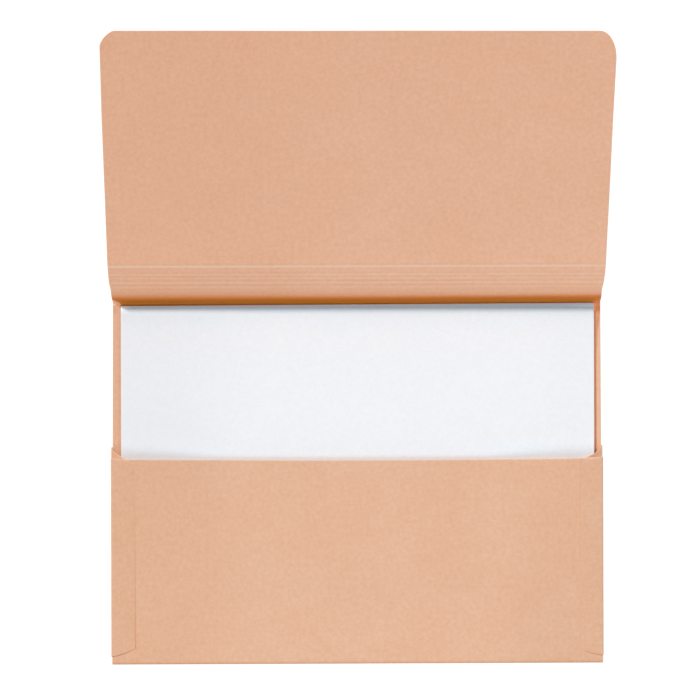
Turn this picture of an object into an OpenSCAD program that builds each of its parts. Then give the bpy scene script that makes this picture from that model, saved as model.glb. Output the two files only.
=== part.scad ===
// Card file pocket (document wallet) for folio sheets, lying on its back with
// the cover flap raised. Millimetres. Origin: centre of the back panel's
// underside; +X to the right, +Y towards the flap, +Z up out of the pocket.

/* [Card] */
// Thickness of the card
card_t = 0.4; // [0.3:0.05:0.45]
// Width from side fold to side fold
pocket_w = 342; // [340:1:350]
// Height of the back panel, bottom crease to top crease
back_h = 252; // [250:1:260]
// How far the free side edges stand inside the side folds
edge_inset = 0.7; // [0.2:0.1:1.0]

/* [Pocket front] */
// Height of the front panel, bottom crease to mouth
front_h = 142.5; // [130:0.5:150]
// Height of the bottom strip, which sets the depth of the pocket
pocket_depth = 10.8; // [10:0.2:14]
// Distance of the front panel's side edges inside the side folds
front_inset = 0.6; // [0.5:0.1:1.2]

/* [Gussets and laps] */
// Depth of the folded gusset, side fold to inner crease
gusset_in = 11.6; // [9:0.1:13]
// Height of the gusset's upper end at the back fold, above the origin
gusset_top = 24; // [20:0.5:30]
// Lower end of the gusset and lap at the side fold
gusset_low = -120.5; // [-122:0.5:-110]
// Width of the lap glued down on the left of the front
left_lap_w = 17.4; // [14:0.2:20]
// Width of the lap glued down on the right of the front
right_lap_w = 15.4; // [14:0.2:20]
// Thickness of the dried glue
glue_t = 0.1; // [0.05:0.05:0.2]

/* [Spine and flap] */
// Length of the flap, main score to free edge
flap_len = 163; // [120:0.1:180]
// Slope of the raised flap, degrees
flap_slope = 21.5; // [15:0.5:30]
// Corner radius at the flap's left corner
corner_left = 10; // [5:0.5:20]
// Corner radius at the flap's right corner
corner_right = 14; // [5:0.5:20]

/* [Sheets] */
// Number of sheets in the bundle
sheet_count = 16; // [4:1:18]
// Width of a folio sheet laid across the pocket
sheet_w = 330; // [320:1:330]
// Height of a folio sheet laid across the pocket
sheet_h = 210; // [200:1:210]
// Thickness of a sheet
sheet_t = 0.1; // [0.08:0.01:0.1]
// Gap from the sheets' top edge to the top crease
sheet_gap = 1.6; // [1:0.1:5]

/* [Hidden] */
$fn = 48;

// Card, sheet and glue colours
card_c = [0.886, 0.694, 0.573];
sheet_c = [0.93, 0.94, 0.955];
glue_c = [0.86, 0.80, 0.66];

// Clear distance from a crease line to the panel that turns on it
crease_gap = card_t / 2 + 0.15;
// Width of each strip between two scores of the spine, from the back upwards
strip_len = [12, 7.4, 3.3, 3.8, 3.6, 2.8, 6.6];
// Slope of each strip as the flap stands raised
strip_slope = [75, 47, 43, 39, 35, 31, 27];
strip_n = len(strip_len);
// The strips' side edges run out from the back's edge to the flap's
function strip_w(i) = pocket_w - 2 * edge_inset * (strip_n - i) / strip_n;
// Crease line i of the spine as [y, z]: 0 is the top crease of the back panel
function spine_pt(i) = i == 0
    ? [back_h / 2, card_t / 2]
    : spine_pt(i - 1) + strip_len[i - 1] * [cos(strip_slope[i - 1]), sin(strip_slope[i - 1])];

half_w = pocket_w / 2;
bottom_y = -back_h / 2;
mouth_y = bottom_y + front_h;
// Upper crease of the bottom strip, where the front panel turns
front_axis = [bottom_y + card_t / 2, pocket_depth];
front_z = pocket_depth - card_t / 2;
lap_z = front_z + card_t + glue_t;
// The gusset's three fold lines as [distance from centre, z]
fold_back = [half_w - card_t / 2, card_t + 0.25];
fold_front = [half_w - card_t / 2, front_z - 0.35];
fold_in = [half_w - gusset_in, (fold_back[1] + fold_front[1]) / 2];
tall = 60;

// Extrudes a profile drawn as [y, z] along X, centred
module along_x(w) {
    translate([-w / 2, 0, 0]) rotate([90, 0, 90]) linear_extrude(w) children();
}

// Extrudes a profile drawn as [x, z] along Y, across the whole pocket
module along_y() {
    translate([0, back_h, 0]) rotate([90, 0, 0]) linear_extrude(2 * back_h) children();
}

// One panel of the card between two creases: it starts clear of the crease it
// turns on and ends in the rounded bead of its own next crease
module score_panel(length) {
    translate([crease_gap, -card_t / 2]) square([length - crease_gap, card_t]);
    translate([length, 0]) circle(d = card_t);
}

// A flat leaf of card between two points of the pocket's cross section, longer
// than the gap so that its ends can be trimmed level
module leaf(a, b) {
    d = b - a;
    translate(a) rotate(atan2(d[1], d[0]))
        translate([-2, -card_t / 2]) square([norm(d) + 4, card_t]);
}

// Plan of the gusset's rear half, with its slanting ends
module rear_plan() {
    polygon([
        [half_w + 1, gusset_top + 0.9], [half_w, gusset_top], [half_w - 5.5, gusset_top - 4.5],
        [half_w - gusset_in, gusset_top - 7.4], [half_w - gusset_in - 2, gusset_top - 7.8],
        [half_w - gusset_in - 2, gusset_low + 4], [half_w + 1, gusset_low]
    ]);
}

// Plan of the gusset's front half, which ends level with the lap at the fold
module front_plan() {
    polygon([
        [half_w + 1, mouth_y + 1.3], [half_w - gusset_in, mouth_y + 0.2],
        [half_w - gusset_in - 2, mouth_y - 0.2],
        [half_w - gusset_in - 2, gusset_low + 4], [half_w + 1, gusset_low]
    ]);
}

// Plan of a lap: bowed upper end standing a little past the mouth at the fold,
// bowed lower end
module lap_plan(w) {
    polygon([
        [half_w + 1, mouth_y + 1.6], [half_w - 5.6, mouth_y + 1.2], [half_w - 9.6, mouth_y],
        [half_w - 13, mouth_y - 1.7], [half_w - w, mouth_y - 3.4],
        [half_w - w, gusset_low + 5.2], [half_w - 13.4, gusset_low + 3.8],
        [half_w - 10.5, gusset_low + 2.5], [half_w - 6, gusset_low + 1.1], [half_w + 1, gusset_low]
    ]);
}

// Rear half of a gusset, on the right: up and inwards from the back fold
module gusset_rear() {
    intersection() {
        along_y() intersection() {
            leaf(fold_back, fold_in);
            translate([0, card_t]) square([half_w, fold_in[1] - card_t]);
        }
        translate([0, 0, -tall / 2]) linear_extrude(tall) rear_plan();
    }
}

// Front half of a gusset, on the right: outwards again to the front fold
module gusset_front() {
    intersection() {
        along_y() intersection() {
            leaf(fold_in, fold_front);
            translate([0, fold_in[1]]) square([half_w, fold_front[1] + 0.05 - fold_in[1]]);
        }
        translate([0, 0, -tall / 2]) linear_extrude(tall) front_plan();
    }
}

// Lap on the right: flat on the front, turning down round the side fold
module lap(w) {
    intersection() {
        along_y() {
            translate([half_w - w - 1, lap_z]) square([w + 1 - card_t, card_t]);
            translate([half_w - card_t, lap_z]) intersection() {
                circle(r = card_t);
                square(card_t);
            }
            translate([half_w - card_t, front_z - 0.15]) square([card_t, lap_z - front_z + 0.15]);
        }
        translate([0, 0, -tall / 2]) linear_extrude(tall) lap_plan(w);
    }
}

// Line of dried glue under a lap, on the right
module glue_line(w) {
    translate([half_w - w + 3, gusset_low + 8, front_z + card_t])
        cube([w - 6, mouth_y - gusset_low - 14, glue_t]);
}

module back_panel() {
    color(card_c) difference() {
        along_x(pocket_w) {
            translate([bottom_y, 0]) square([back_h, card_t]);
            translate(spine_pt(0)) circle(d = card_t);
        }
        for (s = [-1, 1])
            translate([s > 0 ? half_w - edge_inset : -half_w - 1, gusset_top, -1])
                cube([1 + edge_inset, back_h, 3]);
    }
}

module bottom_strip() {
    color(card_c) along_x(pocket_w - 2 * front_inset) {
        translate([bottom_y, card_t]) square([card_t, front_axis[1] - card_t]);
        translate(front_axis) circle(d = card_t);
    }
}

module front_panel() {
    color(card_c)
        translate([-half_w + front_inset, front_axis[0] + crease_gap, front_z])
            cube([pocket_w - 2 * front_inset, mouth_y - front_axis[0] - crease_gap, card_t]);
}

module left_gusset_rear() { color(card_c) mirror([1, 0, 0]) gusset_rear(); }
module left_gusset_front() { color(card_c) mirror([1, 0, 0]) gusset_front(); }
module left_lap() { color(card_c) mirror([1, 0, 0]) lap(left_lap_w); }
module left_glue_line() { color(glue_c) mirror([1, 0, 0]) glue_line(left_lap_w); }
module right_gusset_rear() { color(card_c) gusset_rear(); }
module right_gusset_front() { color(card_c) gusset_front(); }
module right_lap() { color(card_c) lap(right_lap_w); }
module right_glue_line() { color(glue_c) glue_line(right_lap_w); }

// Strip k of the spine, counted from 1 at the back panel
module spine_strip(k) {
    p = spine_pt(k - 1);
    color(card_c) translate([0, p[0], p[1]]) rotate([strip_slope[k - 1], 0, 0])
        along_x(strip_w(k)) score_panel(strip_len[k - 1]);
}

module spine_strip_1() { spine_strip(1); }
module spine_strip_2() { spine_strip(2); }
module spine_strip_3() { spine_strip(3); }
module spine_strip_4() { spine_strip(4); }
module spine_strip_5() { spine_strip(5); }
module spine_strip_6() { spine_strip(6); }
module spine_strip_7() { spine_strip(7); }

// The waste cut off a corner: a square less the round that stays
module corner_waste(r) {
    difference() {
        square(r + 1);
        circle(r);
    }
}

module cover_flap() {
    p = spine_pt(strip_n);
    color(card_c) translate([0, p[0], p[1]]) rotate([flap_slope, 0, 0])
        translate([0, 0, -card_t / 2]) linear_extrude(card_t) difference() {
            translate([-half_w, crease_gap]) square([pocket_w, flap_len - crease_gap]);
            translate([half_w - corner_right, flap_len - corner_right]) corner_waste(corner_right);
            translate([-half_w + corner_left, flap_len - corner_left])
                mirror([1, 0]) corner_waste(corner_left);
        }
}

// The bundle: separate sheets with a thin film of air between them
module paper_sheets() {
    color(sheet_c) for (i = [0:sheet_count - 1])
        translate([-sheet_w / 2 + 0.4, back_h / 2 - sheet_gap - sheet_h, card_t + 0.1 + i * (sheet_t + 0.005)])
            cube([sheet_w, sheet_h, sheet_t]);
}

back_panel();
bottom_strip();
front_panel();
left_gusset_rear();
left_gusset_front();
left_lap();
left_glue_line();
right_gusset_rear();
right_gusset_front();
right_lap();
right_glue_line();
spine_strip_1();
spine_strip_2();
spine_strip_3();
spine_strip_4();
spine_strip_5();
spine_strip_6();
spine_strip_7();
cover_flap();
paper_sheets();
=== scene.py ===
import math

import bpy
import numpy as np
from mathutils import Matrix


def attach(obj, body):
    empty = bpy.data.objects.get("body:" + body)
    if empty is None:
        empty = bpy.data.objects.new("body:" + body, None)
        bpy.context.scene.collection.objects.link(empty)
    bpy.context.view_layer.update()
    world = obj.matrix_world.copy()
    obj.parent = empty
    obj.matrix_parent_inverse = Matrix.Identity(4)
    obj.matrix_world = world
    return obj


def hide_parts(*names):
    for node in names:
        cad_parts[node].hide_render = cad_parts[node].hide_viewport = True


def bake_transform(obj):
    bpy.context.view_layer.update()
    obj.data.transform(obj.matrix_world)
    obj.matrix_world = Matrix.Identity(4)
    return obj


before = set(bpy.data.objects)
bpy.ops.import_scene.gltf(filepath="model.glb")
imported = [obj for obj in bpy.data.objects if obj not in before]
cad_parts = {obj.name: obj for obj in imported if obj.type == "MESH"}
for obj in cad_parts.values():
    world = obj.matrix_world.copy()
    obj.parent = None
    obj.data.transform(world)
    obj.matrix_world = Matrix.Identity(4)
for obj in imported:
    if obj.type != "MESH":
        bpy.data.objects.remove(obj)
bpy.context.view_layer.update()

MM = 0.001
scene = bpy.context.scene

# ---------------------------------------------------------------- camera
# Straight down from 1.5 m, a little off centre, with a long lens.
cam_data = bpy.data.cameras.new("camera")
cam_data.sensor_width = 36.0
cam_data.lens = 2145.0 * 36.0 / 700.0
cam_data.clip_start, cam_data.clip_end = 0.05, 60.0
cam = bpy.data.objects.new("camera", cam_data)
cam.location = (-0.0047, 0.0924, 1.5)
cam.rotation_euler = (0.0, 0.0, math.radians(-0.17))
scene.collection.objects.link(cam)
scene.camera = cam
scene.view_settings.view_transform = "Standard"
scene.view_settings.look = "None"
scene.view_settings.exposure = 0.0
scene.view_settings.gamma = 1.0


# ---------------------------------------------------------------- materials
class Nodes:
    """A small helper that adds nodes to one material and links them."""

    def __init__(self, name):
        self.material = bpy.data.materials.new(name)
        self.material.use_nodes = True
        self.tree = self.material.node_tree
        self.tree.nodes.clear()
        self.out = self.add("ShaderNodeOutputMaterial")

    def add(self, kind, **settings):
        node = self.tree.nodes.new(kind)
        for key, value in settings.items():
            setattr(node, key, value)
        return node

    def link(self, a, b):
        self.tree.links.new(a, b)

    def attribute(self, name):
        return self.add("ShaderNodeAttribute", attribute_name=name)

    def noise(self, vector, scale, detail=2.0, rough=0.5, stretch=(1, 1, 1), offset=(0, 0, 0)):
        place = self.add("ShaderNodeMapping")
        place.inputs["Scale"].default_value = stretch
        place.inputs["Location"].default_value = offset
        self.link(vector, place.inputs["Vector"])
        tex = self.add("ShaderNodeTexNoise")
        tex.inputs["Scale"].default_value = scale
        tex.inputs["Detail"].default_value = detail
        tex.inputs["Roughness"].default_value = rough
        self.link(place.outputs["Vector"], tex.inputs["Vector"])
        return tex.outputs["Fac"]

    def ramp(self, value, low, high, to_low, to_high):
        node = self.add("ShaderNodeMapRange")
        node.inputs["From Min"].default_value = low
        node.inputs["From Max"].default_value = high
        node.inputs["To Min"].default_value = to_low
        node.inputs["To Max"].default_value = to_high
        self.link(value, node.inputs["Value"])
        return node.outputs["Result"]

    def math(self, op, a, b):
        node = self.add("ShaderNodeMath", operation=op)
        for i, v in enumerate((a, b)):
            if isinstance(v, (int, float)):
                node.inputs[i].default_value = v
            else:
                self.link(v, node.inputs[i])
        return node.outputs[0]

    def mix(self, factor, a, b):
        node = self.add("ShaderNodeMix", data_type="RGBA")
        for socket, v in ((node.inputs[0], factor), (node.inputs[6], a), (node.inputs[7], b)):
            if isinstance(v, (int, float)):
                socket.default_value = v
            elif isinstance(v, tuple):
                socket.default_value = (*v, 1.0)
            else:
                self.link(v, socket)
        return node.outputs[2]

    def times(self, colour, value):
        """A colour made lighter or darker by a number that varies over the surface."""
        node = self.add("ShaderNodeVectorMath", operation="SCALE")
        self.link(colour, node.inputs[0])
        self.link(value, node.inputs["Scale"])
        return node.outputs[0]

    def principled(self, colour, roughness, normal=None, level=0.3):
        node = self.add("ShaderNodeBsdfPrincipled")
        node.inputs["Specular IOR Level"].default_value = level
        if isinstance(colour, tuple):
            node.inputs["Base Color"].default_value = (*colour, 1.0)
        else:
            self.link(colour, node.inputs["Base Color"])
        if isinstance(roughness, float):
            node.inputs["Roughness"].default_value = roughness
        else:
            self.link(roughness, node.inputs["Roughness"])
        if normal is not None:
            self.link(normal, node.inputs["Normal"])
        self.link(node.outputs["BSDF"], self.out.inputs["Surface"])
        return node


# Apricot manila card: the colour drifts in soft clouds and a fine mottle, with
# pulp fibres and a fine tooth. "flat" is the place on the unfolded blank, so the grain stays put
# when the card bends. The deep tint is painted shade: a dark orange at the root of the spine
# (up to 1, then browner up to 2 in the trough) and along raised edges, plus a little deeper tone elsewhere.
# The pale tint is the lighter fibres on scores and cut edges together with painted highlights there,
# and the light-and-shade value makes the card lighter or darker where light and shade are painted.
def card_material(name, base, deep=(0.56, 0.150, 0.009), trough_shade=(0.40, 0.165, 0.022), pale=(0.92, 0.665, 0.505)):
    n = Nodes(name)
    flat = n.attribute("flat").outputs["Vector"]
    clouds = n.noise(flat, 24.0, 2.0, 0.5)
    blots = n.noise(flat, 110.0, 3.0, 0.6, offset=(3.1, 1.7, 0.0))
    mottle = n.noise(flat, 330.0, 1.0, 0.5, offset=(1.3, 8.6, 0.0))
    fibre = n.noise(flat, 620.0, 3.0, 0.65, stretch=(1.0, 2.6, 1.0))
    cross = n.noise(flat, 560.0, 2.0, 0.6, stretch=(2.4, 1.0, 1.0), offset=(7.0, 2.0, 0.0))
    grain = n.noise(flat, 2600.0, 2.0, 0.6)
    speck = n.noise(flat, 1150.0, 1.0, 0.5, offset=(11.0, 4.0, 0.0))
    drift = n.math("ADD", n.math("MULTIPLY", clouds, 0.22), n.math("MULTIPLY", blots, 0.22))
    drift = n.math("ADD", drift, n.math("MULTIPLY", mottle, 0.40))
    drift = n.math("ADD", drift, n.math("MULTIPLY", cross, 0.26))
    drift = n.math("ADD", drift, n.math("MULTIPLY", speck, 0.34))
    rich = tuple(c * k for c, k in zip(base, (0.980, 0.924, 0.872)))
    soft = tuple(c * k for c, k in zip(base, (1.020, 1.076, 1.128)))
    colour = n.mix(n.ramp(drift, 0.53, 0.91, 0.0, 1.0), rich, soft)
    tone = n.math("MULTIPLY", n.ramp(blots, 0.3, 0.7, 0.994, 1.006), n.ramp(fibre, 0.3, 0.7, 0.980, 1.020))
    tone = n.math("MULTIPLY", tone, n.ramp(mottle, 0.3, 0.7, 0.989, 1.011))
    tone = n.math("MULTIPLY", tone, n.ramp(grain, 0.3, 0.7, 0.972, 1.028))
    # Painted light and shade: the card is made lighter or darker here.
    tone = n.math("MULTIPLY", tone, n.math("ADD", n.attribute("painted_light_and_shade").outputs["Fac"], 1.0))
    # Painted shade: the mix toward the dark orange and the browner trough colour.
    tint = n.attribute("deep").outputs["Fac"]
    colour = n.mix(n.ramp(tint, 0.0, 1.0, 0.0, 1.0), colour, deep)
    colour = n.mix(n.ramp(tint, 1.0, 2.0, 0.0, 1.0), colour, trough_shade)
    colour = n.times(colour, tone)
    # Lighter fibres and painted highlights on scores and cut edges.
    fibre_and_highlight = n.math("MULTIPLY", n.attribute("pale").outputs["Fac"], n.ramp(fibre, 0.25, 0.6, 0.45, 1.0))
    colour = n.mix(fibre_and_highlight, colour, pale)
    rough = n.ramp(cross, 0.3, 0.7, 0.74, 0.88)
    bump = n.add("ShaderNodeBump")
    bump.inputs["Strength"].default_value = 0.35
    bump.inputs["Distance"].default_value = 0.00006
    n.link(n.math("ADD", fibre, n.math("MULTIPLY", grain, 0.6)), bump.inputs["Height"])
    n.principled(colour, rough, bump.outputs["Normal"], 0.25)
    return n.material


# The cut edge of the card: the raw core, lighter, with torn fibres.
def edge_material(name, base):
    n = Nodes(name)
    flat = n.attribute("flat").outputs["Vector"]
    fibre = n.noise(flat, 900.0, 3.0, 0.7)
    dark = tuple(c * 0.9 for c in base)
    colour = n.mix(n.ramp(fibre, 0.3, 0.7, 0.0, 1.0), dark, base)
    bump = n.add("ShaderNodeBump")
    bump.inputs["Strength"].default_value = 0.3
    bump.inputs["Distance"].default_value = 0.00004
    n.link(fibre, bump.inputs["Height"])
    n.principled(colour, 0.9, bump.outputs["Normal"], 0.2)
    return n.material


# Plain white office paper: cool, with a faint cloudy formation and fine tooth.
def paper_material(name, base):
    n = Nodes(name)
    flat = n.attribute("flat").outputs["Vector"]
    clouds = n.noise(flat, 30.0, 3.0, 0.55)
    form = n.noise(flat, 300.0, 3.0, 0.6, offset=(5.0, 9.0, 0.0))
    grain = n.noise(flat, 900.0, 3.0, 0.7)
    warm = tuple(c * k for c, k in zip(base, (1.004, 1.002, 0.996)))
    cool = tuple(c * k for c, k in zip(base, (0.994, 0.997, 1.004)))
    colour = n.mix(n.ramp(clouds, 0.35, 0.65, 0.0, 1.0), cool, warm)
    # Painted shade: the mix toward a blue-grey shade colour.
    colour = n.mix(n.attribute("deep").outputs["Fac"], colour, tuple(c * k for c, k in zip(base, (0.61, 0.80, 0.88))))
    tone = n.math("MULTIPLY", n.ramp(form, 0.3, 0.7, 0.984, 1.014), n.ramp(grain, 0.3, 0.7, 0.972, 1.024))
    # Painted light and shade: the paper is made lighter or darker here.
    tone = n.math("MULTIPLY", tone, n.math("ADD", n.attribute("painted_light_and_shade").outputs["Fac"], 1.0))
    colour = n.times(colour, tone)
    bump = n.add("ShaderNodeBump")
    bump.inputs["Strength"].default_value = 0.25
    bump.inputs["Distance"].default_value = 0.00004
    n.link(grain, bump.inputs["Height"])
    n.principled(colour, n.ramp(form, 0.3, 0.7, 0.78, 0.9), bump.outputs["Normal"], 0.25)
    return n.material


# Dried white glue: yellowish, cloudy and a little glossy.
def glue_material(name):
    n = Nodes(name)
    place = n.add("ShaderNodeTexCoord").outputs["Object"]
    cloud = n.noise(place, 220.0, 3.0, 0.6)
    colour = n.mix(n.ramp(cloud, 0.3, 0.7, 0.0, 1.0), (0.66, 0.54, 0.34), (0.76, 0.66, 0.47))
    bump = n.add("ShaderNodeBump")
    bump.inputs["Strength"].default_value = 0.4
    bump.inputs["Distance"].default_value = 0.0001
    n.link(cloud, bump.inputs["Height"])
    n.principled(colour, n.ramp(cloud, 0.3, 0.7, 0.3, 0.45), bump.outputs["Normal"], 0.5)
    return n.material


CARD_OUT = card_material("card_outside", (0.762, 0.459, 0.303))
CARD_IN = card_material("card_inside", (0.822, 0.465, 0.305))
CARD_EDGE = edge_material("card_edge", (0.88, 0.62, 0.47))
PAPER = paper_material("paper_face", (0.902, 0.910, 0.940))
PAPER_EDGE = paper_material("paper_edge", (0.84, 0.84, 0.85))
GLUE = glue_material("dried_glue")


# ---------------------------------------------------------------- geometry
def heading(a):
    return np.array([math.cos(a), math.sin(a)])


class Line:
    """A line in a plane, given by its corners and the bend radius at each inner
    corner. It is measured along its length s, in millimetres."""

    def __init__(self, corners, radii):
        pts = [np.array(p, float) for p in corners]
        self.runs, self.corner_s = [], [0.0]
        here, total = pts[0], 0.0
        for i in range(1, len(pts)):
            d = pts[i] - pts[i - 1]
            a = math.atan2(d[1], d[0])
            if i < len(pts) - 1:
                e = pts[i + 1] - pts[i]
                turn = (math.atan2(e[1], e[0]) - a + math.pi) % (2 * math.pi) - math.pi
                r = radii[i - 1]
                back = r * math.tan(abs(turn) / 2)
                stop = pts[i] - back * heading(a)
                length = np.linalg.norm(stop - here)
                self.runs.append((total, length, here, a, 0.0))
                total += length
                arc = r * abs(turn)
                self.runs.append((total, arc, stop, a, turn))
                self.corner_s.append(total + arc / 2)
                total += arc
                here = pts[i] + back * heading(a + turn)
            else:
                length = np.linalg.norm(pts[i] - here)
                self.runs.append((total, length, here, a, 0.0))
                total += length
                self.corner_s.append(total)
        self.length = total

    def at(self, s):
        """Place and heading at s."""
        run = self.runs[0]
        for r in self.runs:
            if s >= r[0] - 1e-9:
                run = r
        begin, length, p, a, turn = run
        u = s - begin
        if abs(turn) < 1e-9 or length < 1e-9:
            return p + u * heading(a), a
        h = a + turn * u / length
        r = length / turn
        return p + r * np.array([math.sin(h) - math.sin(a), math.cos(a) - math.cos(h)]), h

    def stations(self, coarse, bend_deg=9.0):
        """Values of s that follow the bends closely and the straights loosely."""
        out = [0.0]
        for begin, length, _, _, turn in self.runs:
            if length < 1e-6:
                continue
            if abs(turn) > 1e-6:
                k = max(2, math.ceil(abs(math.degrees(turn)) / bend_deg))
            else:
                k = max(1, math.ceil(length / coarse))
            out += [begin + length * j / k for j in range(1, k + 1)]
        return out


def merged(*lists, least=0.05):
    """One rising list of stations without near doubles."""
    every = sorted(v for part in lists for v in part)
    out = [every[0]]
    for v in every[1:]:
        if v - out[-1] > least:
            out.append(v)
    if every[-1] - out[-1] > 1e-9:
        out[-1] = every[-1]
    return out


class Builder:
    """Collects closed thin sheets and turns them into one mesh object."""

    def __init__(self):
        self.v, self.f, self.m, self.count = [], [], [], 0
        self.flat, self.deep, self.pale, self.painted_light_and_shade = [], [], [], []

    def sheet(self, grid, normal, flat, thick, bevel, deep=None, pale=None, painted_light_and_shade=None,
              seam_start=False, seam_end=False, place=0.0, face=0):
        """grid is rows x columns x 3, the middle of the sheet, in millimetres.
        Its faces are set off along normal, by half of thick, a number or a grid.
        Free edges are cut with a small bevel; a seam is a plain square end that
        another sheet carries on from. The tints are for face 0, on the normal's
        side, or face 1."""
        rows, cols, _ = grid.shape
        deep = np.zeros((rows, cols)) if deep is None else deep
        pale = np.zeros((rows, cols)) if pale is None else pale
        painted_light_and_shade = np.zeros((rows, cols)) if painted_light_and_shade is None else painted_light_and_shade
        body = grid.copy()

        def pull(edge, inner):
            d = inner - edge
            return bevel * d / np.maximum(np.linalg.norm(d, axis=-1, keepdims=True), 1e-9)

        move = np.zeros_like(grid)
        move[:, 0] += pull(grid[:, 0], grid[:, 1])
        move[:, -1] += pull(grid[:, -1], grid[:, -2])
        if not seam_start:
            move[0] += pull(grid[0], grid[1])
        if not seam_end:
            move[-1] += pull(grid[-1], grid[-2])
        body += move
        half = np.broadcast_to(np.asarray(thick, float) / 2, (rows, cols))
        loop = [(0, c) for c in range(cols)]
        loop += [(r, cols - 1) for r in range(1, rows)]
        loop += [(rows - 1, c) for c in range(cols - 2, -1, -1)]
        loop += [(r, 0) for r in range(rows - 2, 0, -1)]
        lr, lc = np.array([p[0] for p in loop]), np.array([p[1] for p in loop])
        inner = (lc > 0) & (lc < cols - 1)
        capped = inner & (((lr == 0) & seam_start) | ((lr == rows - 1) & seam_end))
        half_rim = half[lr, lc]
        reach = np.where(capped, half_rim / 3, np.maximum(half_rim - bevel, half_rim / 3))[:, None]
        rim, rim_n = grid[lr, lc], normal[lr, lc]
        k = rows * cols
        b = len(loop)
        base = self.count
        self.v.append(np.concatenate([
            (body + normal * half[..., None]).reshape(-1, 3), (body - normal * half[..., None]).reshape(-1, 3),
            rim + rim_n * reach, rim - rim_n * reach]))
        plane = np.full((rows, cols, 1), 1.0)
        up = np.concatenate([flat, plane * (0.011 + place)], -1).reshape(-1, 3)
        down = np.concatenate([flat, plane * (3.07 + place)], -1).reshape(-1, 3)
        edge = np.concatenate([flat[lr, lc], np.full((b, 1), 1.53 + place)], -1)
        self.flat.append(np.concatenate([up, down, edge, edge + [0, 0, 0.0004 * 1000]]))
        # The deep, pale and glow tints: painted shade, lighter fibres with painted highlights, and painted light and
        # shade.
        for store, value in ((self.deep, deep), (self.pale, pale), (self.painted_light_and_shade, painted_light_and_shade)):
            sides = [value.ravel(), np.zeros(k)]
            store.append(np.concatenate([sides[face], sides[1 - face], np.zeros(2 * b)]))
        idx = np.arange(k).reshape(rows, cols)
        q = np.stack([idx[:-1, :-1], idx[:-1, 1:], idx[1:, 1:], idx[1:, :-1]], -1).reshape(-1, 4)
        top, bottom = q, (q + k)[:, ::-1]
        a = np.arange(b)
        z = (a + 1) % b
        t_loop = idx[lr, lc]
        ra, rb = 2 * k + a, 2 * k + b + a
        band1 = np.stack([ra[a], ra[z], t_loop[z], t_loop[a]], -1)
        band2 = np.stack([rb[a], rb[z], ra[z], ra[a]], -1)
        band3 = np.stack([t_loop[a] + k, t_loop[z] + k, rb[z], rb[a]], -1)
        self.f.append(np.concatenate([top, bottom, band1, band2, band3]) + base)
        self.m.append(np.concatenate([
            np.zeros(len(top), int), np.ones(len(bottom), int), np.full(3 * b, 2)]))
        self.count += 2 * k + 2 * b

    def object(self, name, materials, sharp=38.0):
        v, f, m = (np.concatenate(x) for x in (self.v, self.f, self.m))
        mesh = bpy.data.meshes.new(name)
        mesh.vertices.add(len(v))
        mesh.vertices.foreach_set("co", (v * MM).astype(np.float32).ravel())
        mesh.loops.add(f.size)
        mesh.loops.foreach_set("vertex_index", f.astype(np.int32).ravel())
        mesh.polygons.add(len(f))
        mesh.polygons.foreach_set("loop_start", np.arange(0, f.size, 4, dtype=np.int32))
        mesh.polygons.foreach_set("loop_total", np.full(len(f), 4, np.int32))
        for mat in materials:
            mesh.materials.append(mat)
        mesh.polygons.foreach_set("material_index", m.astype(np.int32))
        mesh.update(calc_edges=True)
        mesh.polygons.foreach_set("use_smooth", np.ones(len(f), bool))
        mesh.set_sharp_from_angle(angle=math.radians(sharp))
        flat = mesh.attributes.new("flat", "FLOAT_VECTOR", "POINT")
        flat.data.foreach_set("vector", (np.concatenate(self.flat) * MM).astype(np.float32).ravel())
        for key, store in (("deep", self.deep), ("pale", self.pale), ("painted_light_and_shade", self.painted_light_and_shade)):
            att = mesh.attributes.new(key, "FLOAT", "POINT")
            att.data.foreach_set("value", np.concatenate(store).astype(np.float32))
        mesh.validate(verbose=False)
        obj = bpy.data.objects.new(name, mesh)
        scene.collection.objects.link(obj)
        return obj


def smooth(t):
    t = np.clip(t, 0.0, 1.0)
    return t * t * (3 - 2 * t)


def ripple(x, y, seed):
    """The card's own slight unevenness, from -1 to 1, over some centimetres."""
    rng = np.random.default_rng(seed)
    out = np.zeros_like(x)
    for i in range(6):
        wave, turn, shift = rng.uniform(70, 190), rng.uniform(0, math.pi), rng.uniform(0, 6.28)
        out = out + np.sin((x * math.cos(turn) + y * math.sin(turn)) * 2 * math.pi / wave + shift) / 6
    return out


def across(left, right, step=7.0):
    """Columns between two sides, closer together at the edges."""
    near = [0.0, 0.45, 1.3, 3.2]
    k = max(2, math.ceil((right - left - 2 * near[-1]) / step))
    mid = [left + near[-1] + (right - left - 2 * near[-1]) * j / k for j in range(1, k)]
    return np.array([left + d for d in near] + mid + [right - d for d in near[::-1]])


def normals_of(grid):
    du, dv = np.gradient(grid, axis=1), np.gradient(grid, axis=0)
    n = np.cross(du, dv)
    return n / np.maximum(np.linalg.norm(n, axis=-1, keepdims=True), 1e-12)


CARD_T = 0.4
HALF = 171.0
MOUTH = 16.5
FRONT_Z = 10.8
SEAM_Z = 5.5

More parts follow.
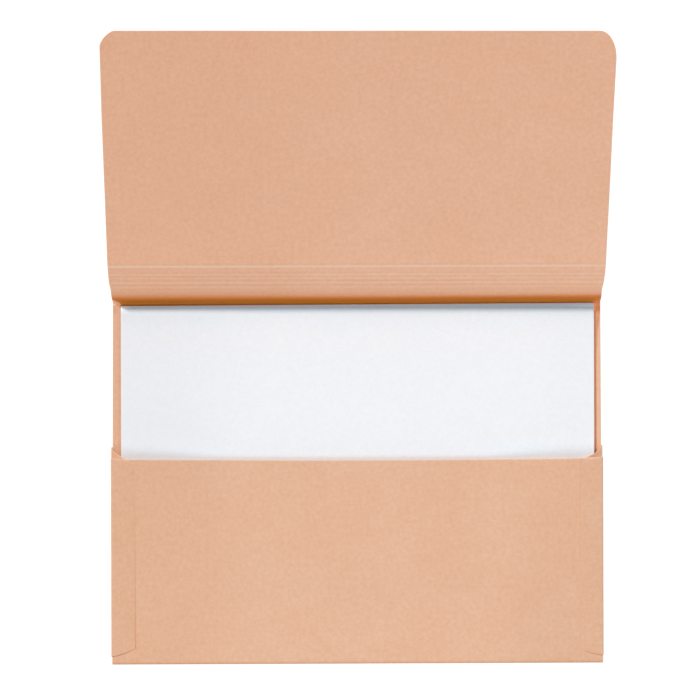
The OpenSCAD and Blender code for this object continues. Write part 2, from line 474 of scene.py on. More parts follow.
# The blank's long section, bottom strip to flap, as [y, z]
STRIP_LEN = [12.0, 7.4, 3.3, 3.8, 3.6, 2.8, 6.6]
STRIP_SLOPE = [75.0, 47.0, 43.0, 39.0, 35.0, 31.0, 27.0]
FLAP_LEN, FLAP_SLOPE = 163.2, 21.5
spine_pts = [np.array([126.0, 0.2])]
for length, slope in zip(STRIP_LEN, STRIP_SLOPE):
    spine_pts.append(spine_pts[-1] + length * heading(math.radians(slope)))
flap_end = spine_pts[-1] + FLAP_LEN * heading(math.radians(FLAP_SLOPE))
bottom = np.array([-125.8, 0.2])
section = Line(
    [[-125.8, SEAM_Z], bottom, spine_pts[0], *spine_pts[1:], flap_end],
    [0.45, 2.5, 13.0, 9.0, 9.0, 9.0, 9.0, 9.0, 9.0])
S_BOTTOM, S_CREASE = section.corner_s[1], section.corner_s[2]
S_SCORES = section.corner_s[3:10]
S_MAIN, S_END = section.corner_s[9], section.length
SEAM_1 = S_CREASE + 6.0
SEAM_2 = S_SCORES[3] + 1.8
# Flap corners: reach across, reach along, and how full the curve is
CORNER_L, CORNER_R = (10.0, 10.4, 1.5), (12.0, 20.0, 2.0)

# Pressed score lines: place, depth and half width in millimetres, and how strongly
# the fibres are bruised lighter on the pocket's side of the line, with a painted highlight there
SCORES = [
    (S_SCORES[0], 0.0, 0.8, 0.0), (S_SCORES[1], 0.05, 0.8, 0.05), (S_SCORES[2] + 0.2, 0.150, 0.8, 0.14),
    (S_SCORES[3] + 0.2, 0.150, 0.8, 0.17), (S_SCORES[4] + 0.2, 0.110, 0.75, 0.20),
    (S_SCORES[5] + 0.15, 0.130, 0.85, 0.17), (S_MAIN - 0.1, 0.130, 1.0, 0.84)]


def pressed(s):
    out = np.zeros_like(s)
    for at, deep, wide, _ in SCORES:
        out = out - deep * np.exp(-(((s - at) / wide) ** 2))
    return out


# Lighter bruised fibres and a painted highlight just off each score line.
def score_pale(s):
    out = np.zeros_like(s)
    for at, _, wide, k in SCORES:
        out = np.maximum(out, k * np.exp(-(((s - at + 0.8 * wide) / (0.66 * wide)) ** 2)))
    return out


def side(s):
    """Where the long sheet's left and right edges run at s."""
    p, _ = section.at(s)
    if s < S_BOTTOM + 0.4:
        return -170.4, 170.4
    if s <= S_CREASE:
        if p[0] < -120.6:
            return -171.0, 171.0
        down = min(1.0, max(0.0, (126.0 - p[0]) / 101.0))
        left = -170.15 if p[0] < 24.8 else -170.4 - 0.45 * down
        right = 170.15 if p[0] < 25.3 else 170.3 + 0.33 * down
        return left, right
    if s < S_MAIN:
        w = 170.3 + 0.7 * (s - S_CREASE) / (S_MAIN - S_CREASE)
        marks = [S_CREASE, (S_CREASE + S_SCORES[0]) / 2, S_SCORES[0], (S_SCORES[0] + S_SCORES[1]) / 2,
                 S_SCORES[1], S_SCORES[2], S_SCORES[3], S_SCORES[4], S_SCORES[5]]
        left = -w + np.interp(s, marks, [-0.1, 0.2, 0.45, 0.52, 0.64, 0.3, 0.0, 0.0, 0.0])
        right = w - np.interp(s, marks, [0.0, 0.28, 0.6, 0.82, 1.0, 0.65, 0.3, 0.12, 0.0])
        return left, right
    d = S_END - s

    def cut(corner):
        wide, long, full = corner
        if d >= long:
            return 0.0
        return wide * (1 - (1 - ((long - d) / long) ** full) ** (1 / full))

    return -171.0 + cut(CORNER_L), 171.0 - cut(CORNER_R)


def settle(grid):
    """The bottom fold is made a hair short and out of square."""
    w = smooth((-95.0 - grid[..., 1]) / 25.0)
    grid[..., 1] += (0.62 + 0.22 * grid[..., 0] / 171.0) * w


def long_sheet(begin, end, stations, seed, wave, seam_start, seam_end):
    rows = [s for s in stations if begin - 1e-6 <= s <= end + 1e-6]
    rows = merged([begin, end], [s for s in rows if begin + 0.06 < s < end - 0.06])
    strip = [163.0, 164.0, 165.6, 166.4, 167.1, 167.5, 167.9, 168.3, 168.7] if begin == 0.0 else []
    strip = strip + ([-169.4 + 0.55 * k for k in range(16)] if begin < SEAM_2 else [])
    template = (np.array(merged(list(across(-HALF, HALF)), strip, least=0.25)) + HALF) / (2 * HALF)
    near = np.array([0.0, 0.45, 1.3, 3.2])
    tight = np.array([0.0, 0.45, 1.0, 1.55])
    first, last = tight if begin < SEAM_2 else near, tight if begin == 0.0 else near
    grid = np.zeros((len(rows), len(template), 3))
    flat = np.zeros((len(rows), len(template), 2))
    s_all = np.zeros((len(rows), len(template)))
    for i, s in enumerate(rows):
        left, right = side(s)
        x = left + template * (right - left)
        x[:4], x[-4:] = left + first, right - last[::-1]
        assert np.all(np.diff(x) > 0.1)
        p, h = section.at(s)
        n = np.array([-math.sin(h), math.cos(h)])
        grid[i, :, 0], grid[i, :, 1], grid[i, :, 2] = x, p[0], p[1]
        lift = pressed(np.full_like(x, s))
        grid[i, :, 1] += n[0] * lift
        grid[i, :, 2] += n[1] * lift
        flat[i, :, 0], flat[i, :, 1] = x, s
        s_all[i] = s
    free = smooth((s_all - S_MAIN - 3) / 60.0)
    bend = wave * ripple(grid[..., 0], s_all, seed) * free
    a = math.radians(FLAP_SLOPE)
    grid[..., 1] -= math.sin(a) * bend
    grid[..., 2] += math.cos(a) * bend
    # The flap is cut and folded a hair out of square.
    run = np.clip((s_all - S_MAIN) / FLAP_LEN, 0, 1)
    tip = smooth((run - 0.6) / 0.4)
    grid[..., 0] = grid[..., 0] * (1 - 0.11 / 171.0 * tip) + 1.15 * run + 0.35 * tip
    shift = -grid[..., 0] * math.tan(math.radians(0.165)) * run
    grid[..., 1] += math.cos(a) * shift
    grid[..., 2] += math.sin(a) * shift
    settle(grid)
    return rows, grid, normals_of(grid), flat, s_all


def score_stations():
    out = []
    for at, _, wide, _ in SCORES:
        out += [at + wide * k for k in (-2.3, -1.7, -1.3, -1.0, -0.7, -0.35, 0.0, 0.35, 0.7, 1.0, 1.4, 2.0)]
    return out


spine_fine = [S_CREASE + 0.6 * k for k in range(1, int((S_MAIN - S_CREASE + 9) / 0.6))]
flap_rows = [S_MAIN + 9 + 7.0 * k for k in range(0, 20)]
corner_rows = [S_END - d for d in (0, 0.2, 0.5, 0.95, 1.55, 2.3, 3.2, 4.2, 5.3, 6.5, 7.8, 9.1, 10.4, 12.2, 14.2, 16.4, 18.6, 20.5, 24)]
back_rows = [s for s in section.stations(7.0) if s <= S_CREASE + 7]
notch = [S_BOTTOM + (y + 125.8) for y in (-120.75, -120.45, 24.65, 24.95, 25.15, 25.45)]


def edge_pale(grid, flat, amount, width=0.5):
    """Lighter fibres close to the cut side edges."""
    left, right = flat[:, :1, 0], flat[:, -1:, 0]
    d = np.minimum(flat[..., 0] - left, right - flat[..., 0])
    return amount * np.clip(1 - d / width, 0, 1)


def past_head(grid, s):
    """The painted shade and light in the trough stop just under the head of the sheets, but not beside them."""
    head = S_CREASE - 1.25 + 0.0042 * grid[..., 0]
    inner = np.where(s < S_CREASE, smooth((s - head + 1.2) / 0.7), 1.0)
    return np.maximum(inner, smooth(np.abs(grid[..., 0]) - 162.8))


def root_painted_shade(grid, s):
    """Painted shade at the root of the spine, with a little deeper colour on the strips above, more to the left.
    Its left end runs out on a slant, and its upper edge climbs a little towards the right."""
    top = S_SCORES[0] + 0.9 * smooth(grid[..., 0] / 150.0)
    firm = 1.0 + 0.35 * smooth(grid[..., 0] / 150.0)
    s = np.where(s > S_CREASE + 5, S_SCORES[0] + (s - top) * firm, s)
    top = S_SCORES[0]
    along = np.interp(s, [S_CREASE - 0.4, S_CREASE + 1.3, S_CREASE + 4, top - 4.5, top - 2.0, top, top + 1, top + 2, top + 3, top + 5, top + 6.4, top + 7.6],
                      [2.0, 1.6, 1.15, 1.0, 0.93, 0.77, 0.60, 0.44, 0.31, 0.13, 0.05, 0.0]) * (s > S_CREASE - 3.3) * past_head(grid, s)
    red = np.interp(s, [top + 1, top + 4, S_SCORES[1], S_SCORES[2], S_SCORES[4]], [0.0, 0.07, 0.13, 0.11, 0.0])
    west = 0.10 * smooth((10 - grid[..., 0]) / 110.0) * np.interp(s, [top - 1, top + 2, S_SCORES[2], S_SCORES[5], S_MAIN], [0.0, 1.0, 0.6, 0.45, 0.0])
    end = smooth((grid[..., 0] - 165.2) / 1.2) * (s < S_CREASE + 4)
    along = along + (np.minimum(along, 0.75) - along) * end
    return along * root_mask(grid, s) + red + west


# Where the painted shade at the spine's root runs out on a slant at its left end, like a cast shadow's edge.
def root_mask(grid, s):
    top = S_SCORES[0]
    reach = 6.2 * np.clip((top - 3.5 - s) / (top - 3.5 - (S_CREASE - 1.5)), 0, 1)
    return smooth((grid[..., 0] + 170.3 - reach) / 1.1 + 0.5)


# Painted light: lifts the trough at the spine's root out of its own shade, lightens a wedge at its left end, and
# lightens the spine's strips up to the flap.
def root_painted_light(grid, s):
    marks = [S_CREASE - 3.4, S_CREASE - 3.2, S_CREASE - 1.6, S_CREASE - 1.1, S_CREASE - 0.4, S_CREASE + 1.3, S_CREASE + 4, S_CREASE + 6]
    low = np.interp(s, marks, [0.0, 0.9, 1.7, 1.75, 1.40, 0.55, 0.08, 0.0])
    low = low * (1 + 0.32 * smooth((grid[..., 0] + 80) / 240.0) - 0.13 * smooth((-grid[..., 0] - 40) / 100.0)) * (1 - 0.62 * smooth((grid[..., 0] - 165.2) / 1.2))
    near = [S_CREASE + d for d in (-4.6, -3.4, -2.4, -1.6, -1.1, -0.4, 1.3, 4, 6)]
    wedge_painted_light = np.interp(s, near, [0.0, 0.0, 0.0, 0.30, 0.55, 0.38, 0.18, 0.04, 0.0]) * (1 - root_mask(grid, s)) * (grid[..., 0] < 0)
    wedge_painted_light = wedge_painted_light * (1 - smooth((-grid[..., 0] - 166.6) / 1.2) * np.interp(s, [S_CREASE - 1.6, S_CREASE - 1.1, S_CREASE - 0.4], [1.0, 0.35, 0.0]))
    high = np.interp(s, [S_CREASE + 2.5, S_CREASE + 5, S_SCORES[0] - 3, S_SCORES[0], S_SCORES[0] + 2, S_SCORES[0] + 4,
                         S_SCORES[1], S_SCORES[2], S_SCORES[4], S_MAIN - 3, S_MAIN + 3],
                     [0.0, 0.15, 0.20, 0.34, 0.43, 0.42, 0.38, 0.335, 0.19, 0.14, 0.09])
    return low * root_mask(grid, s) ** 2 * past_head(grid, s) + wedge_painted_light + high


# Back panel with the bottom fold, half the bottom strip, the top crease and the
# lower half of the first strip
rows, grid, norm, flat, s_all = long_sheet(
    0.0, SEAM_1, merged(back_rows, notch, [S_CREASE + d for d in (-12, -10.5, -9, -7.8, -6.6, -5.6, -4.6, -4.0, -3.4, -3.2, -2.4, -1.6, -1.1, -0.4)], [S_CREASE + 0.6 * k for k in range(1, 10)], score_stations()), 3, 0.0, True, True)
build = Builder()
open_back = s_all < S_CREASE - 4
# Painted shadow beside the paper stack's right edge on the right strip: an orange tint, lifted with painted light
# where the stack's cast shadow falls, painted light and shade near the spine's root, and a paler tone outside the
# painted shadow.
reach = np.interp(grid[..., 1], [88.0, 95.6, 105.0, 117.3, 119.0], [167.6, 167.9, 168.6, 170.2, 172.0])
shade = smooth((reach - grid[..., 0]) / 0.7 + 0.5) * smooth((grid[..., 0] - 163.0) / 1.0)
shade = shade * (s_all < S_CREASE - 1) * (grid[..., 1] > 10)
upper = smooth((grid[..., 1] - 114.0) / 6.0)
hidden = 1 - smooth((grid[..., 0] - 166.85) / 0.6)
painted_shadow_beside = shade * (0.38 + 0.30 * upper + 0.26 * hidden * (1 - upper))
near_root_painted_light = np.interp(grid[..., 1], [118.6, 120.2, 122.5, 123.2, 124.4, 125.2], [0.0, 0.45, 0.43, 0.25, -0.20, -0.22])
back_painted_light_shade = shade * (-0.10 + 0.56 * upper + near_root_painted_light + 0.95 * hidden * (1 - 0.6 * upper))
outer = 0.14 * (1 - shade) * smooth((grid[..., 0] - 167.0) / 0.8) * open_back
# Painted shade on the left strip, deepest near the spine's root, and painted light where the paper's corner shades
# it.
back_painted_light_shade = back_painted_light_shade + np.interp(grid[..., 0], [-167.6, -166.2, -160.0, -159.0], [-0.065, -0.16, -0.16, 0.0]) * (s_all < S_CREASE - 1.7)
corner = np.interp(grid[..., 1], [116.0, 120.0, 124.0, 124.6], [0.0, 1.0, 1.0, 0.0])
back_painted_light_shade = back_painted_light_shade - 0.09 * corner * smooth((-grid[..., 0] - 166.6) / 1.2)
back_painted_light_shade = back_painted_light_shade + 0.30 * np.interp(grid[..., 1], [122.7, 123.6, 124.4, 124.9], [0.0, 0.9, 1.0, 0.0]) * smooth((167.2 + grid[..., 0]) / 0.8) * (grid[..., 0] < -163.5)
build.sheet(grid, norm, flat, CARD_T, 0.09, deep=np.maximum(root_painted_shade(grid, s_all), painted_shadow_beside),
            painted_light_and_shade=root_painted_light(grid, s_all) + back_painted_light_shade, pale=np.maximum(edge_pale(grid, flat, 0.35), outer), seam_start=True, seam_end=True)
back_sheet = build.object("back_sheet", [CARD_IN, CARD_OUT, CARD_EDGE])

# Spine: from the middle of the first strip to the middle of the fifth
rows, grid, norm, flat, s_all = long_sheet(
    SEAM_1, SEAM_2, merged(spine_fine, score_stations(), [SEAM_1 + 0.3, SEAM_2 - 0.3]), 3, 0.0, True, True)
build = Builder()
# Painted shade at the root and painted light on the strips, with a little deeper colour to the left.
build.sheet(grid, norm, flat, CARD_T, 0.09, deep=np.maximum(root_painted_shade(grid, s_all), 0.05 * smooth((10 - grid[..., 0]) / 95.0)), painted_light_and_shade=root_painted_light(grid, s_all),
            pale=np.maximum(score_pale(s_all), edge_pale(grid, flat, 0.35)), seam_start=True, seam_end=True)
spine_sheet = build.object("spine_sheet", [CARD_IN, CARD_OUT, CARD_EDGE])

# Cover: the rest of the spine and the flap
rows, grid, norm, flat, s_all = long_sheet(
    SEAM_2, S_END, merged([s for s in spine_fine if s < S_MAIN + 8], score_stations(), flap_rows, corner_rows,
                          [SEAM_2 + 0.3], least=0.12), 3, 0.5, True, False)
build = Builder()
# Painted light and shade: the flap a little lighter towards its free end and just past the main score, with a trace
# of deeper colour there and to the left, besides the spine's painted shade and light.
far = smooth((s_all - S_END + 85.0) / 75.0)
close = (1 - smooth((s_all - S_MAIN - 5.0) / 40.0)) * (s_all > S_MAIN + 0.5)
build.sheet(grid, norm, flat, CARD_T, 0.09, deep=root_painted_shade(grid, s_all) + 0.06 * smooth((10 - grid[..., 0]) / 95.0) + 0.03 * far,
            painted_light_and_shade=root_painted_light(grid, s_all) + 0.008 * far + 0.017 * close,
            pale=np.maximum(score_pale(s_all), edge_pale(grid, flat, 0.25)), seam_start=True, seam_end=False)
cover_sheet = build.object("cover_sheet", [CARD_IN, CARD_OUT, CARD_EDGE])

# Front: upper half of the bottom strip, the rounded crease and the front panel,
# which hangs a little at the middle of the mouth
LAP_L, LAP_R = 16.7, 15.5
front_line = Line([[-125.8, SEAM_Z], [-125.8, FRONT_Z], [MOUTH, FRONT_Z]], [0.7])
rows = merged(front_line.stations(7.0), [front_line.length - d for d in (0.45, 0.9, 1.5, 3.2)],
              [front_line.corner_s[1] + 2.0 + 0.3 * k for k in range(40)])
LOW_L = ([0, 1.1, 3.9, 6, 8.1, 10.5, 11.9, 14.7, 17], [-120.3, -120.2, -119.7, -119.0, -118.3, -117.6, -116.9, -115.6, -114.8])
LOW_R = ([0, 0.8, 5.7, 8.4, 10.5, 12.6, 15.5], [-120.8, -120.55, -119.65, -119.0, -118.3, -117.6, -116.3])
lines = [-HALF + LAP_L + d for d in (-0.7, -0.1, 0.3, 0.75, 1.2)] + [HALF - LAP_R - d for d in (-0.7, -0.1, 0.3, 0.75, 1.2)]
lines += [-HALF + d for d in np.arange(2.0, LAP_L - 1, 1.6)] + [HALF - d for d in np.arange(2.0, LAP_R - 1, 1.6)]
cols = np.array(merged(list(across(-170.4, 170.4)), lines, least=0.3))
grid = np.zeros((len(rows), len(cols), 3))
for i, s in enumerate(rows):
    p, h = front_line.at(s)
    grid[i, :, 0], grid[i, :, 1], grid[i, :, 2] = cols, p[0], p[1]
flat = np.stack([grid[..., 0], np.repeat(np.array(rows)[:, None], len(cols), 1) + 500.0], -1)
up = np.clip((grid[..., 1] + 121.0) / (MOUTH + 121.0), 0, 1)
mid = smooth((156.0 - np.abs(grid[..., 0])) / 74.0)
FRONT_SAG = 5.2
grid[..., 2] -= FRONT_SAG * mid * smooth(up) * up
grid[..., 2] += 0.22 * ripple(grid[..., 0], grid[..., 1], 11) * mid * smooth(up * 4)
# The lower ends of the laps get a painted shadow line on the front.
left_end = (grid[..., 1] + 0.25 - np.interp(grid[..., 0] + HALF, *LOW_L)) / 0.42
right_end = (grid[..., 1] + 0.25 - np.interp(HALF - grid[..., 0], *LOW_R)) / 0.42
ends = 0.62 * np.exp(-left_end ** 2) * smooth((LAP_L - HALF - grid[..., 0]) / 9.0 + 0.35)
ends = ends + 0.80 * np.exp(-right_end ** 2) * smooth((grid[..., 0] - HALF + LAP_R) / 5.0)
grid[..., 1] += (0.36 - 1.2 * np.clip(1 - (grid[..., 0] / 155.0) ** 2, 0, 1)) * up
settle(grid)
norm = normals_of(grid)
run = np.repeat(np.array(rows)[:, None], len(cols), 1)
d_mouth = front_line.length - run
low = np.clip((20.0 - grid[..., 1]) / 135.0, 0, 1)
d_left, d_right = grid[..., 0] + HALF - LAP_L, HALF - LAP_R - grid[..., 0]
# Painted shadow lines beside the laps' inner edges on the front, strongest low on the left, lifted to orange with
# painted light.
painted_shadow_beside = 0.62 * low ** 1.6 * ((d_left > -0.4) & (d_left < 0.5) & (grid[..., 1] > -114.5))
painted_shadow_beside = painted_shadow_beside + 0.30 * ((d_right > -0.4) & (d_right < 0.5) & (grid[..., 1] > -115.8))
# Painted shade along the rounded bottom fold.
fold_painted_shade = 0.32 * np.exp(-(((run - front_line.corner_s[1] + 0.2) / 1.0) ** 2))
build = Builder()
# Painted light and shade that even out the broad shading on the front's sides; the front also turns a deeper colour
# towards both sides, a little lighter on the left and darker on the right.
high = smooth((grid[..., 1] + 70) / 60.0)
slope_painted_light_shade = high * (0.030 * np.exp(-(((grid[..., 0] + 120) / 24.0) ** 2)) - 0.028 * np.exp(-(((grid[..., 0] - 106) / 20.0) ** 2)))
slope_painted_light_shade = slope_painted_light_shade + 0.024 * smooth((grid[..., 0] - 126) / 18.0) * (1 - 0.7 * smooth((-grid[..., 1] - 55) / 40.0))
slope_painted_light_shade = slope_painted_light_shade + 0.021 * smooth((-grid[..., 1] - 70) / 30.0) * smooth((125 - np.abs(grid[..., 0])) / 35.0)
rich = 0.085 * smooth((-grid[..., 0] - 75) / 80.0) + 0.03 * smooth((grid[..., 0] - 90) / 60.0)
build.sheet(grid, norm, flat, CARD_T, 0.09, deep=np.maximum(np.maximum(painted_shadow_beside, fold_painted_shade), ends) + rich,
            painted_light_and_shade=0.02 * smooth((-grid[..., 0] - 75) / 80.0) - 0.03 * smooth((grid[..., 0] - 90) / 60.0) + 0.32 * np.maximum(painted_shadow_beside, ends) + slope_painted_light_shade,
            # A painted highlight along the mouth's cut edge.
            pale=0.7 * np.clip(1.25 - d_mouth / 0.75, 0, 1), seam_start=True, seam_end=False)
front_sheet = build.object("front_sheet", [CARD_OUT, CARD_IN, CARD_EDGE])


# Side: the back fold, the two halves of the gusset, the front fold and the lap,
# one folded strip of card
def side_sheet(name, lap_w, mirror, out, nose, ends):
    rear = math.radians(157.0)
    nose_r = 0.3
    a = [np.array([170.15, 0.2]), np.array([170.52 + out, 0.2])]
    centre = a[1] + [0, nose_r]
    sec, turn = [], []
    steps = 14
    sec.append(a[0]); turn.append(0.0)
    for k in range(steps + 1):
        q = rear * k / steps
        sec.append(centre + nose_r * np.array([math.sin(q), -math.cos(q)])); turn.append(q)
    start = sec[-1]
    inner_x, r_in = 159.4, 0.28
    reach = (start[0] - inner_x) / -math.cos(rear)
    crease = start + reach * heading(rear)
    out_a = math.radians(23.0)
    bend = rear - out_a
    back = r_in * math.tan(bend / 2)
    p = crease - back * heading(rear)
    run = np.linalg.norm(p - start)
    for k in range(1, 7):
        sec.append(start + heading(rear) * run * k / 6); turn.append(rear)
    c = p + r_in * np.array([math.sin(rear), -math.cos(rear)])
    for k in range(1, 13):
        q = rear - bend * k / 12
        sec.append(c + r_in * np.array([-math.sin(q), math.cos(q)])); turn.append(q)
    p = sec[-1]
    s_x = nose
    run = (s_x - p[0]) / math.cos(out_a)
    for k in range(1, 7):
        sec.append(p + heading(out_a) * run * k / 6); turn.append(out_a)
    p = sec[-1]
    lap_plane = FRONT_Z + 0.5
    r_out = (lap_plane - p[1]) / (1 + math.cos(out_a))
    c = p + r_out * np.array([-math.sin(out_a), math.cos(out_a)])
    for k in range(1, 15):
        q = out_a + (math.pi - out_a) * k / 14
        sec.append(c + r_out * np.array([math.sin(q), -math.cos(q)])); turn.append(q)
    p = sec[-1]
    stop = HALF - lap_w
    for d in [x for x in (1.2, 3.0, 5.2, 7.4, 9.4, 11.2, 13.0) if p[0] - x > stop + 2.4] + [p[0] - stop - 1.3, p[0] - stop - 0.45, p[0] - stop]:
        sec.append(p - [d, 0]); turn.append(math.pi)
    sec, turn = np.array(sec), np.array(turn)
    arc = np.concatenate([[0], np.cumsum(np.linalg.norm(np.diff(sec, axis=0), axis=1))])
    # Ends of the strip, by place across it: back fold, inner crease, front fold, lap
    i_in = int(np.argmin(sec[:, 0] + 1e3 * (turn > math.pi - 0.01)))
    top, low = np.zeros(len(sec)), np.zeros(len(sec))
    rear_top, lap_top, lap_low = ends
    inner_top = np.interp(11.5, *rear_top)
    for i, (x, z) in enumerate(sec):
        d = HALF - x
        k = np.clip((d - 0.3) / 11.2, 0, 1)
        if i <= i_in:
            top[i] = np.interp(d, *rear_top) if i > steps else rear_top[1][0]
            low[i] = -120.5 + 4.0 * k
        elif turn[i] < math.pi - 0.01:
            top[i] = lap_top[1][0] + (inner_top - lap_top[1][0]) * k
            low[i] = -120.5 + 4.0 * k
        else:
            top[i], low[i] = np.interp(d, *lap_top), np.interp(d, *lap_low)
    near = [0.0, 0.4, 1.2, 3.0]
    k = 22
    frac = np.linspace(0, 1, k + 1)[1:-1]
    cols_n = len(sec)
    rows_n = 2 * len(near) + len(frac)
    grid = np.zeros((rows_n, cols_n, 3))
    for i in range(cols_n):
        a0, a1 = low[i] + near[-1], top[i] - near[-1]
        y = np.concatenate([low[i] + near, a0 + frac * (a1 - a0), (top[i] - np.array(near))[::-1]])
        grid[:, i, 0], grid[:, i, 1], grid[:, i, 2] = sec[i, 0], y, sec[i, 1]
    flat = np.stack([np.repeat(arc[None] + 171.0, rows_n, 0), grid[..., 1] + 131.0], -1)
    # The lap is pressed thin towards its inner edge, most of all near the mouth.
    first = int(np.argmax(turn > math.pi - 0.01))
    u = np.clip((arc - arc[first]) / (arc[-1] - arc[first]), 0, 1)[None] ** 1.3
    edge_t = 0.02 + 0.06 * np.clip((14.0 - grid[..., 1]) / 129.0, 0, 1)
    thick = CARD_T + (edge_t - CARD_T) * u
    under = FRONT_Z + 0.3 - 0.07 * u
    grid[..., 2] = np.where(u > 0, under + thick / 2, grid[..., 2])
    # Lighter fibres and a painted highlight along the top cut edges.
    top_edge_pale_highlight = np.clip(1.2 - (top[None] - grid[..., 1]) / 0.8, 0, 1)
    pale = top_edge_pale_highlight * np.where(turn[None] > math.pi - 0.01, 0.5 - 0.4 * u, 0.5)
    # Painted shade on the left gusset's rear half, under the lap, and painted light on the right one's; both laps a
    # little deeper in colour.
    hidden = (np.arange(cols_n)[None] <= i_in) * smooth((grid[..., 1] - 8) / 8)
    lap = turn[None] > math.pi - 0.01
    if mirror:
        shade, gusset_painted_light_shade = 0.10 * hidden + 0.10 * lap, -0.10 * hidden + 0.02 * lap
    else:
        shade, gusset_painted_light_shade = 0.04 * hidden + 0.04 * lap, 0.20 * hidden - 0.03 * lap
    if mirror:
        grid, flat, thick, pale, shade, gusset_painted_light_shade = (v[:, ::-1].copy() for v in (grid, flat, thick, pale, shade, gusset_painted_light_shade))
        grid[..., 0] *= -1
        flat[..., 0] *= -1
    settle(grid)
    build = Builder()
    build.sheet(grid, normals_of(grid), flat, thick, 0.09, deep=shade, pale=pale, painted_light_and_shade=gusset_painted_light_shade, face=1)
    return build.object(name, [CARD_IN, CARD_OUT, CARD_EDGE])


left_side = side_sheet("left_side_sheet", LAP_L, True, 0.85, 170.65, (
    ([0, 0.8, 2.2, 3.6, 5, 5.7, 7.4, 8.8, 10.6, 11.5], [24.9, 22.9, 21.4, 20.5, 19.4, 18.9, 17.9, 17.3, 16.6, 16.4]),
    ([0, 5, 8, 11, 14, 17], [17.6, 17.3, 16.6, 15.7, 14.6, 13.4]),
    LOW_L))
right_side = side_sheet("right_side_sheet", LAP_R, False, 0.5, 170.25, (
    ([0, 1.1, 1.8, 2.5, 3.9, 5, 5.6, 8.1, 9.5, 11.5], [25.4, 23.6, 22.7, 22.0, 20.8, 20.0, 19.4, 18.6, 17.9, 16.9]),
    ([0, 2.9, 8.4, 12.6, 14, 15.5], [17.8, 17.5, 16.3, 14.9, 13.8, 12.7]),
    LOW_R))

# Sheets of paper: a bundle squared up by hand, so each lies a little differently
rng = np.random.default_rng(7)
build = Builder()
SHEETS, PITCH = 16, 0.105
for i in range(SHEETS):
    xs = np.array(merged(list(across(-165.0, 165.0, 15.0)), [-163.4, -160.4, -159.0, -157.4], least=0.3))
    ys = np.array(merged(list(across(-105.0, 105.0, 15.0)), [105.0 - d for d in (0.9, 1.9, 2.5, 3.2, 3.9, 4.7, 5.5, 7, 10, 14, 19, 26)] + [2.0 + d for d in (-12, -8, -5, -2.5, 0, 2.5, 5, 8, 12)], least=0.4))
    x, y = np.meshgrid(xs, ys)
    last = i == SHEETS - 1
    turn = math.radians(0.24 + (0.0 if last else rng.uniform(-0.035, 0.035)))
    lean = turn - math.radians(0.23)
    dx, dy = (0.0, 0.0) if last else (rng.uniform(-0.25, 0.2), rng.uniform(-0.3, -0.13 + 0.25 * i / SHEETS))
    gx = 0.58 + dx + x * math.cos(lean) - y * math.sin(lean)
    gy = 19.2 + dy + x * math.sin(turn) + y * math.cos(turn)
    rise = i / (SHEETS - 1)
    swell = 0.35 * np.clip(1 - (x / 165.0) ** 2, 0, 1) * np.clip(1 - ((y - 45) / 62.0) ** 2, 0, 1) ** 2
    gz = 0.55 + PITCH * i + rise * swell
    grid = np.stack([gx, gy, gz], -1)
    flat = np.stack([x + 2000.0, y + 37.0 * i], -1)
    # Painted shadow: a blue-grey band at the head of the sheets under the spine, shaped by distance from the head and
    # across, and taken away with painted light at the left corner.
    cool = np.interp(105.0 - y, [0, 5.5, 7, 10, 14, 19, 26], [0.24, 0.24, 0.18, 0.13, 0.08, 0.03, 0.0])
    cool = cool + np.interp(105.0 - y, [0, 0.9, 1.9, 2.5, 3.2, 3.9, 4.7, 5.5, 7], [0.14, 0.18, 0.24, 0.34, 0.34, 0.26, 0.16, 0.08, 0.0]) * (1 - 0.75 * smooth((-x - 50) / 90.0) + smooth((x - 60) / 90.0) * np.interp(105.0 - y, [0, 1.9, 2.6, 7], [-0.3, -0.2, 0.5, 0.8]))
    clear = smooth((-x - 157.5) / 6.0) * np.interp(105.0 - y, [0, 1.9, 2.5, 3.9, 5.5], [1.0, 1.0, 0.6, 0.15, 0.0])
    cool = cool * (1 - clear)
    # Painted light and shade near the head, lighter on the left; painted shade on the left and right parts of the
    # sheets; a painted blue-grey shade with some painted light at the mouth's corners.
    west = 0.07 * smooth((-x - 60) / 70.0) * np.interp(105.0 - y, [0, 1.9, 3.2, 4.7, 7], [0.0, 0.0, 1.0, 0.9, 0.0])
    d_head = 105.0 - y
    head_painted_light_shade = np.interp(d_head, [2.5, 3.2, 3.9, 4.7, 5.5, 7, 10], [0.0, -0.02, -0.09, -0.075, -0.08, -0.045, 0.0]) * smooth((x + 110) / 230.0)
    head_painted_light_shade = head_painted_light_shade + np.interp(d_head, [0.9, 1.9, 2.5, 3.2], [0.0, 0.10, 0.11, 0.0]) * smooth((x - 20) / 120.0)
    head_painted_light_shade = head_painted_light_shade + np.interp(d_head, [0, 0.9, 1.9, 2.5, 3.2, 3.9], [0.06, 0.12, 0.20, 0.24, 0.12, 0.0]) * smooth((x - 140) / 22.0)
    side_painted_shade = -0.055 * smooth((-x - 50) / 110.0) - 0.020 * smooth((x - 110) / 50.0)
    mouth_corner_painted_shade = smooth((np.abs(x) - 60) / 60.0) * np.exp(-((y - 2.0) / 7.0) ** 2)
    build.sheet(grid, normals_of(grid), flat, 0.098, 0.02, deep=cool + 0.24 * mouth_corner_painted_shade, painted_light_and_shade=side_painted_shade + 0.08 * mouth_corner_painted_shade + 0.24 * clear + west + head_painted_light_shade, place=0.13 * i)
paper_stack = build.object("paper_stack", [PAPER, PAPER, PAPER_EDGE])

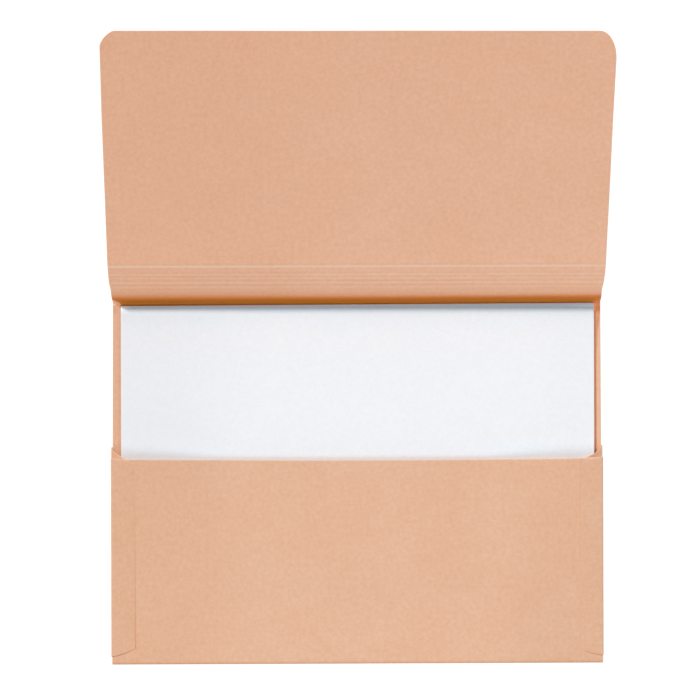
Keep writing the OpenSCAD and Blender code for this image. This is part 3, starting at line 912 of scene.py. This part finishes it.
# ---------------------------------------------------------------- motion
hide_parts("back_panel", "bottom_strip", "spine_strip_1")
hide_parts("spine_strip_1", "spine_strip_2", "spine_strip_3", "spine_strip_4", "spine_strip_5")
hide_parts("spine_strip_5", "spine_strip_6", "spine_strip_7", "cover_flap")
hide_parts("bottom_strip", "front_panel")
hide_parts("left_gusset_rear", "left_gusset_front", "left_lap")
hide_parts("right_gusset_rear", "right_gusset_front", "right_lap")
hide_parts("paper_sheets")


def at(y, z):
    return (0.0, y * MM, z * MM)


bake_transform(back_sheet)
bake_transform(spine_sheet)
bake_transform(cover_sheet)
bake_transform(front_sheet)
for piece in (left_side, right_side):
    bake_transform(piece)
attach(paper_stack, "sheets")

for node in ("left_glue_line", "right_glue_line"):
    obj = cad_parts[node]
    obj.data.materials.clear()
    obj.data.materials.append(GLUE)

# ---------------------------------------------------------------- floor, light
floor_n = Nodes("floor_white")
floor_bsdf = floor_n.principled((0.14, 0.14, 0.14), 1.0, level=0.0)
floor_bsdf.inputs["Emission Color"].default_value = (1.0, 1.0, 1.0, 1.0)
floor_bsdf.inputs["Emission Strength"].default_value = 0.97
ring, floor_v, floor_f = 96, [], []
profile = [(0.0, 0.0), (3.0, 0.0), (4.0, 0.10), (5.0, 0.42), (5.8, 1.0), (6.2, 1.7)]
for r, h in profile:
    floor_v += [(r * math.cos(2 * math.pi * k / ring), r * math.sin(2 * math.pi * k / ring), h - 0.0006) for k in range(ring)] if r else [(0.0, 0.0, -0.0006)]
for k in range(ring):
    floor_f.append((0, 1 + k, 1 + (k + 1) % ring))
for j in range(1, len(profile) - 1):
    o = 1 + (j - 1) * ring
    floor_f += [(o + k, o + ring + k, o + ring + (k + 1) % ring, o + (k + 1) % ring) for k in range(ring)]
floor_mesh = bpy.data.meshes.new("floor")
floor_mesh.from_pydata(floor_v, [], floor_f)
floor_mesh.polygons.foreach_set("use_smooth", [True] * len(floor_f))
floor_mesh.materials.append(floor_n.material)
floor = bpy.data.objects.new("floor", floor_mesh)
scene.collection.objects.link(floor)


def aim(obj, toward):
    obj.rotation_mode = "QUATERNION"
    obj.rotation_quaternion = toward.to_track_quat("-Z", "Y")


from mathutils import Vector

key_data = bpy.data.lights.new("key", "SUN")
key_data.energy = 3.10
key_data.angle = math.radians(9.0)
key_data.color = (1.0, 0.962, 0.928)
key = bpy.data.objects.new("key", key_data)
key.location = (-1.5, 1.5, 1.7)
aim(key, Vector((0.95, -0.90, -1.0)))
scene.collection.objects.link(key)

fill_data = bpy.data.lights.new("fill", "AREA")
fill_data.shape = "DISK"
fill_data.size = 2.2
fill_data.energy = 30.5
fill_data.color = (0.85, 0.93, 1.0)
fill = bpy.data.objects.new("fill", fill_data)
fill.location = (0.55, -1.60, 2.42)
aim(fill, Vector((0.0, 0.06, 0.0)) - Vector(fill.location))
scene.collection.objects.link(fill)

world = bpy.data.worlds.new("studio")
world.use_nodes = True
back = world.node_tree.nodes["Background"]
back.inputs["Color"].default_value = (0.85, 0.93, 1.0, 1.0)
back.inputs["Strength"].default_value = 0.14
scene.world = world
